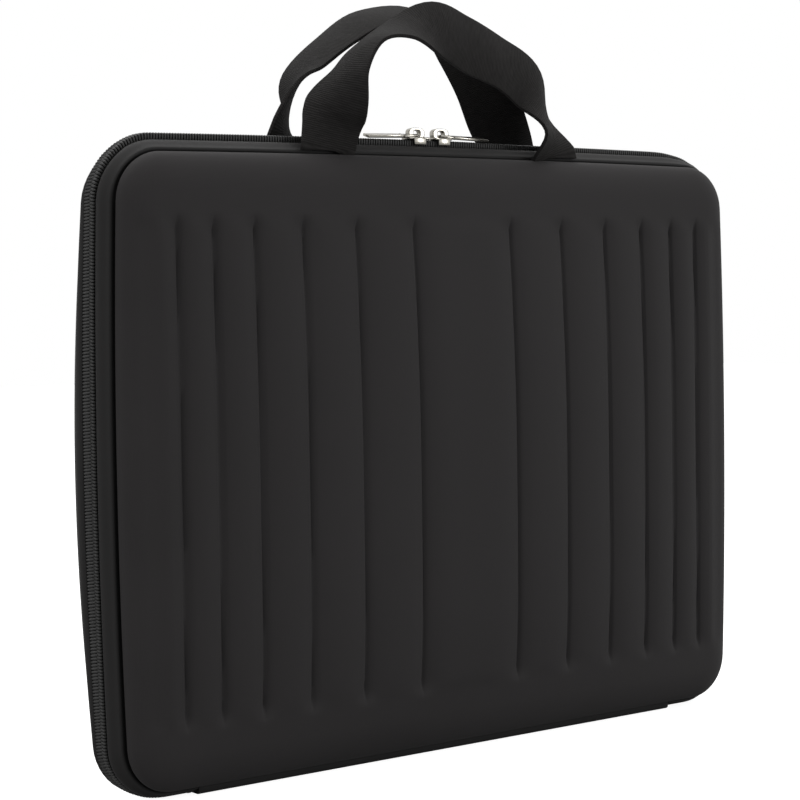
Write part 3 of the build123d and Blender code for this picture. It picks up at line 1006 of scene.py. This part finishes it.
def strap_frames(route, steps_per_span=7):
    """Centres, width directions, faces and cups along a strap, by the length up to each."""
    seat = Vector((0, 0, STRAP_SEAT_Z))
    centres = [Vector((x, -y, z)) * MM + seat for (x, y, z), _, _ in route]
    widths = [Vector((x, -y, z)).normalized() for _, (x, y, z), _ in route]
    cups = [cup * MM for _, _, cup in route]
    spans = len(route) - 1
    times = [i / steps_per_span for i in range(spans * steps_per_span + 1)]
    places = [through(centres, t) for t in times]
    frames = {}
    for t, length, centre in zip(times, running_lengths(places), places):
        ahead = through(centres, min(spans, t + 0.02)) - through(centres, max(0, t - 0.02))
        if t in (0, spans):
            ahead = Vector((0, 0, 1 if t == 0 else -1))
        ahead.normalize()
        across = through(widths, t)
        across = (across - ahead * across.dot(ahead)).normalized()
        frames[length] = (centre, across, across.cross(ahead), through(cups, t))
    return frames


def strap(name, route, settings):
    """A webbing strap, cupped across its width, with its thickness and rounded edges."""
    frames = strap_frames(route)
    half = settings.width / 2
    shares = [-1.0, -0.93, -0.75, -0.5, -0.25, 0.0, 0.25, 0.5, 0.75, 0.93, 1.0]

    def place(a, b):
        centre, side, out, cup = frames[a]
        return (centre + side * b * (1 - 0.06 * abs(cup) / (4 * MM))
                + out * cup * ((b / half) ** 2 - 0.4))

    piece = draped_grid(name, list(frames), [share * half for share in shares], place)
    thicken(piece, settings.thickness, offset=0.0, use_even_offset=True)
    return smooth(round_edges(piece, 0.45 * MM, angle=50), 60)


class CASE_OT_handles(bpy.types.Operator):
    """Models the two twisted webbing handles, sewn into the top seams"""

    bl_idname = "case.handles"
    bl_label = "Webbing handles"

    def execute(self, context):
        settings = context.scene.case_handles
        cloth = webbing(settings.colour, settings.rib_pitch)
        front = strap("front_webbing_handle", FRONT_STRAP, settings)
        rear = flip_to_rear(strap("rear_webbing_handle", REAR_STRAP, settings))
        for piece, side, seam_y in ((front, "front", -SEAM_Y), (rear, "rear", SEAM_Y)):
            dress(piece, cloth, "webbing", None, f"{side}_handle")
            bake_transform(piece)
        return {"FINISHED"}


# ---- Sliders and pulls ----

SLIDER_SIDES = (("left", -1), ("right", 1))


def ring_piece(length, height, hole_length, hole_height, depth, segments=28):
    """A flattened ring standing in the XZ plane about the origin, with rounded edges."""
    deselect_all()
    bpy.ops.mesh.primitive_circle_add(vertices=segments, radius=1.0, fill_type="NOTHING",
                                      rotation=(math.pi / 2, 0, 0))
    piece = bpy.context.object
    bpy.ops.object.transform_apply(location=False, rotation=True, scale=False)
    rim = [v.co.xz for v in piece.data.vertices]
    in_edit_mode(piece, bpy.ops.mesh.extrude_edges_move)
    for i, vertex in enumerate(piece.data.vertices):
        size = (length, height) if i < segments else (hole_length, hole_height)
        x, z = (math.copysign(abs(share) ** 0.72, share) * full / 2
                for share, full in zip(rim[i % segments], size))
        vertex.co = (x, 0, z)
    thicken(piece, depth, offset=0.0)
    return round_edges(face_out(piece), 0.42 * MM, segments=3, angle=50)


class CASE_OT_sliders(bpy.types.Operator):
    """Models the two nickel sliders with their ring crowns"""

    bl_idname = "case.sliders"
    bl_label = "Zip sliders"

    def execute(self, context):
        metal = nickel(context.scene.case_zip.metal)
        for name, sign in SLIDER_SIDES:
            low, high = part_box(f"{name}_slider")
            x, width, length = (low.x + high.x) / 2, high.y - low.y, high.x - low.x
            plate_top = high.z - 5.2 * MM
            top = rounded_block(length, width, 1.2 * MM, 0.5 * MM, segments=3)
            for vertex in top.data.vertices:
                share = sign * vertex.co.x / (length / 2)
                vertex.co.y *= 0.72 + 0.28 * clamp(0.9 - share)
            parts = [moved(top, x, 0, plate_top - 0.6 * MM)]
            bottom = rounded_block(length, width, 1.3 * MM, 0.5 * MM)
            parts.append(moved(bottom, x, 0, low.z + 0.7 * MM))
            web = rounded_block(3 * MM, 0.9 * MM, plate_top - low.z - 0.6 * MM, 0.2 * MM)
            parts.append(moved(web, x - sign * (length - 3 * MM) / 2, 0, (plate_top + low.z) / 2))
            ring = ring_piece(10.6 * MM, 6.2 * MM, 4.4 * MM, 3.6 * MM, 3.2 * MM)
            parts.append(moved(ring, x, 0, plate_top + 1.8 * MM))
            for side in (-1, 1):
                lip = rounded_block(7.6 * MM, 1.0 * MM, 3.6 * MM, 0.4 * MM)
                parts.append(moved(lip, x, side * (width / 2 - 0.55 * MM), plate_top - 2.2 * MM))
            piece = smooth(join(f"{name}_nickel_slider", parts))
            dress(piece, metal, "zip_metal", f"{name}_slider", f"{name}_slider")
        return {"FINISHED"}


class CASE_OT_pulls(bpy.types.Operator):
    """Models the two pulls: a wire eye through the slider's ring and a flat tab"""

    bl_idname = "case.pulls"
    bl_label = "Zip pulls"

    def execute(self, context):
        metal = nickel(context.scene.case_zip.metal)
        for name, sign in SLIDER_SIDES:
            low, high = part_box(f"{name}_pull")
            slider_low, slider_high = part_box(f"{name}_slider")
            pin = Vector(((slider_low.x + slider_high.x) / 2, 0, (low.z + high.z) / 2 + PULL_LIFT))
            tip_x = low.x if sign < 0 else high.x
            root_x = pin.x + sign * 7.2 * MM
            # The eye's corners, from the pin: distances outwards and across, in millimetres.
            eye = wire_loop([pin + Vector((sign * x, y, 0)) * MM for x, y in (
                (0, -1.7), (0, 1.7), (0.24, 2.26), (0.8, 2.5), (7.2, 2.5), (8.2, 2.5),
                (8.2, -2.5), (7.2, -2.5), (0.8, -2.5), (0.24, -2.26))], 0.85 * MM)
            length = abs(tip_x - root_x)
            tab = rounded_block(length, high.y - low.y, 1.7 * MM, 0.6 * MM, segments=3)
            for vertex in tab.data.vertices:
                share = 0.5 + sign * vertex.co.x / length
                narrow = 0.62 + 0.38 * min(1.0, share / 0.25)
                vertex.co.y *= narrow * (1 - 0.45 * max(0.0, (share - 0.86) / 0.14) ** 2)
                vertex.co.z *= 1 - 0.25 * max(0.0, share - 0.3)
            moved(tab, (tip_x + root_x) / 2, 0, pin.z)
            piece = join(f"{name}_nickel_pull", [eye, tab])
            drop = Matrix.Rotation(sign * PULL_DROP, 3, "Y")
            for vertex in piece.data.vertices:
                arm = vertex.co - pin
                twist = smoothstep((abs(arm.x) - 4 * MM) / (6 * MM))
                vertex.co = pin + drop @ Matrix.Rotation(PULL_ROLL * twist, 3, "X") @ arm
            dress(smooth(piece), metal, "zip_metal", f"{name}_pull", f"{name}_pull")
        return {"FINISHED"}


def wire_loop(points, radius):
    """A closed loop of round wire through points."""
    curve = bpy.data.curves.new("eye", "CURVE")
    curve.dimensions = "3D"
    curve.bevel_depth = radius
    curve.bevel_resolution = 3
    spline = curve.splines.new("POLY")
    spline.points.add(len(points) - 1)
    for point, place in zip(spline.points, points):
        point.co = (*place, 1)
    spline.use_cyclic_u = True
    piece = bpy.data.objects.new("eye", curve)
    bpy.context.scene.collection.objects.link(piece)
    select_only(piece)
    bpy.ops.object.convert(target="MESH")
    return bpy.context.object


# ---- Pocket and corner straps ----


class CASE_OT_pocket(bpy.types.Operator):
    """Models the mesh pocket in the front half with its elastic edge"""

    bl_idname = "case.pocket"
    bl_label = "Mesh pocket"

    def execute(self, context):
        low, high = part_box("front_pocket")
        y = (low.y + high.y) / 2
        corner = context.scene.case_shells.corner - (HALF_W + END_CROWN - high.x)
        height = high.z - low.z
        half = (high.x - low.x) / 2 - END_CROWN
        xs = spread(low.x + END_CROWN, high.x - END_CROWN, 7 * MM)
        zs = [z * MM for z in (0, 1.5, 3.5, 6, 9, 13, 17)] + spread(21 * MM, height, 8 * MM)

        def place(x, b):
            # The lower corners follow the rounded outline.
            drop = max(0.0, corner - b)
            x *= min(1.0, (half - corner + math.sqrt(max(0.0, corner ** 2 - drop ** 2))) / half)
            sag = math.sin(math.pi * (x + half) / (2 * half)) * 0.15 * MM
            ripple = 0.12 * MM * math.sin(x * 120)
            bow_x, bow_z = bowed(x, low.z + b)
            return Vector((bow_x, y + (ripple - sag) * b / height, bow_z))

        pocket = draped_grid("front_mesh_pocket", xs, zs, place)
        smooth(thicken(pocket, 0.5 * MM, offset=0.0), 40)
        cloth = pocket_mesh(context.scene.case_inside.mesh)
        dress(pocket, cloth, "pocket_mesh", "front_half", "front_pocket")

        edge_low, edge_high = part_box("front_pocket_edge")
        edge_half = edge_high.x - END_CROWN
        edge_y = (edge_low.y + edge_high.y) / 2
        rows = spread(0.0, edge_high.z - edge_low.z, 2 * MM)

        def edge_place(a, b):
            gather = 0.18 * MM * math.sin(a * 900) * (b / rows[-1])
            x, z = bowed(a, edge_low.z + b)
            return Vector((x, edge_y + gather, z))

        edge = draped_grid("front_pocket_elastic", spread(-edge_half, edge_half, 2.5 * MM), rows,
                           edge_place)
        thicken(edge, 1.0 * MM, offset=0.0)
        smooth(round_edges(edge, 0.25 * MM))
        dress(edge, elastic_band(POCKET_EDGE_COLOUR), "elastic", "front_half",
              "front_pocket_edge")
        return {"FINISHED"}


class CASE_OT_corner_straps(bpy.types.Operator):
    """Models the four elastic straps across the rear half's corners"""

    bl_idname = "case.corner_straps"
    bl_label = "Corner straps"

    def execute(self, context):
        low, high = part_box("laptop_corner_straps")
        y, reach, past_seam = (low.y + high.y) / 2, 62 * MM, 2.6 * MM
        rows = [w * MM for w in (-9.8, -9, -6, -3, 0, 3, 6, 9, 9.8)]
        straps = []
        for side, up in ((-1, -1), (-1, 1), (1, -1), (1, 1)):
            corner_x, corner_z = side * HALF_W, MID_Z + up * HALF_H
            start = Vector((corner_x + side * past_seam, y, corner_z - up * reach))
            end = Vector((corner_x - side * reach, y, corner_z + up * past_seam))
            run = end - start
            ahead = run.normalized()
            across = Vector((-ahead.z, 0, ahead.x))
            turn = math.copysign(1, across.x * side)

            def place(a, b):
                # Each end is cut along the side that it is sewn to.
                share = a / run.length
                middle = start + ahead * (a + turn * b * (1 - 2 * share))
                return middle + across * b * (1 - 0.10 * math.sin(math.pi * share))

            strap_piece = draped_grid("strap", spread(0, run.length, 4 * MM), rows, place)
            straps.append(face_out(thicken(strap_piece, 1.0 * MM, offset=0.0)))
        piece = round_edges(join("corner_elastic_straps", straps), 0.25 * MM)
        dress(smooth(piece), elastic_band(CORNER_STRAP_COLOUR), "elastic", "rear_half",
              "laptop_corner_straps")
        return {"FINISHED"}


# ---- Stage ----


def soft_box(name, place, side, power):
    """A rectangular area lamp at a place, aimed at the middle of the case."""
    lamp = bpy.data.lights.new(name, "AREA")
    lamp.shape = "RECTANGLE"
    lamp.size, lamp.size_y = side
    lamp.energy = power
    holder = bpy.data.objects.new(name, lamp)
    bpy.context.scene.collection.objects.link(holder)
    holder.location = place
    aim = Vector((0, 0, MID_Z)) - Vector(place)
    holder.rotation_euler = aim.to_track_quat("-Z", "Y").to_euler()


def studio_white():
    """A pale floor that shows the camera plain white with the object's soft shadow on it."""
    recipe = Recipe("studio_white", (0.4, 0.4, 0.4), 0.9, specular=0.1)
    recipe.sockets["Emission Color"].default_value = (1, 1, 1, 1)
    seen = recipe.node("LightPath", {}, "Is Camera Ray")
    recipe.link(recipe.math("MULTIPLY", seen, 0.92), "Emission Strength")
    return recipe.material


def studio_world():
    """An even soft light, which the camera and mirrors see as plain white."""
    world = bpy.data.worlds.new("studio")
    world.use_nodes = True
    tree = world.node_tree
    white = (1, 1, 1, 1)
    rays = tree.nodes.new("ShaderNodeLightPath").outputs
    mirrored = add_node(tree, "Math", {0: rays["Is Glossy Ray"], 1: rays["Is Transmission Ray"]},
                        operation="MAXIMUM")
    seen = add_node(tree, "Math", {0: rays["Is Camera Ray"], 1: mirrored}, operation="MAXIMUM")
    light = add_node(tree, "Background", {"Color": white, "Strength": 0.62})
    plain = add_node(tree, "Background", {"Color": white, "Strength": 1.0})
    mix = add_node(tree, "MixShader", {0: seen, 1: light, 2: plain})
    tree.nodes.remove(tree.nodes["Background"])
    tree.links.new(mix, tree.nodes["World Output"].inputs["Surface"])
    return world


class CASE_OT_stage(bpy.types.Operator):
    """Sets up the pale floor, the lamps, the world and the camera"""

    bl_idname = "case.stage"
    bl_label = "Stage and camera"

    def execute(self, context):
        scene, settings = context.scene, context.scene.case_stage
        deselect_all()
        bpy.ops.mesh.primitive_plane_add(size=settings.floor_size, location=(0, 0, 0))
        floor = named(context.object, "studio_floor")
        floor.data.materials.append(studio_white())

        scene.world = studio_world()
        soft_box("overhead", (0.1, 0.3, 2.4), (2.4, 2.0), 44)
        soft_box("right_key", (3.4, -4.2, 1.2), (1.6, 1.6), 77)
        soft_box("left_rim", (-3.7, -0.1, 0.9), (1.4, 1.4), 36)

        camera = bpy.data.objects.new("camera", bpy.data.cameras.new("camera"))
        scene.collection.objects.link(camera)
        camera.data.lens = settings.lens
        camera.data.sensor_width = 36
        camera.location = (-0.7196, -0.8823, MID_Z + 0.0867)
        turn = Matrix.Rotation(-settings.yaw, 3, "Z")
        turn @= Matrix.Rotation(math.pi / 2 + settings.pitch, 3, "X")
        turn @= Matrix.Rotation(settings.roll, 3, "Z")
        camera.rotation_euler = turn.to_euler()
        scene.camera = camera
        scene.view_settings.view_transform = "Standard"
        return {"FINISHED"}


# ---- Panel, registering and running ----

PIECES = (
    CASE_OT_stage, CASE_OT_shells, CASE_OT_side_bands, CASE_OT_zip, CASE_OT_spine,
    CASE_OT_handles, CASE_OT_sliders, CASE_OT_pulls, CASE_OT_linings, CASE_OT_pocket,
    CASE_OT_corner_straps,
)
SETTINGS = {
    "case_shells": ShellSettings, "case_zip": ZipSettings, "case_handles": HandleSettings,
    "case_inside": InsideSettings, "case_stage": StageSettings,
}


class CASE_PT_panel(bpy.types.Panel):
    """The case's pieces and their settings"""

    bl_idname = "CASE_PT_panel"
    bl_label = "Laptop Case"
    bl_space_type = "VIEW_3D"
    bl_region_type = "UI"
    bl_category = "Laptop Case"

    def draw(self, context):
        for name, group in SETTINGS.items():
            box = self.layout.box()
            for key in group.__annotations__:
                box.prop(getattr(context.scene, name), key)
        for piece in PIECES:
            self.layout.operator(piece.bl_idname)


CLASSES = (*SETTINGS.values(), *PIECES, CASE_PT_panel)


def register():
    for item in CLASSES:
        bpy.utils.register_class(item)
    for name, group in SETTINGS.items():
        setattr(bpy.types.Scene, name, PointerProperty(type=group))


def unregister():
    for name in SETTINGS:
        delattr(bpy.types.Scene, name)
    for item in reversed(CLASSES):
        bpy.utils.unregister_class(item)


def main():
    register()
    for piece in PIECES:
        group, name = piece.bl_idname.split(".")
        getattr(getattr(bpy.ops, group), name)()


if __name__ == "__main__":
    main()
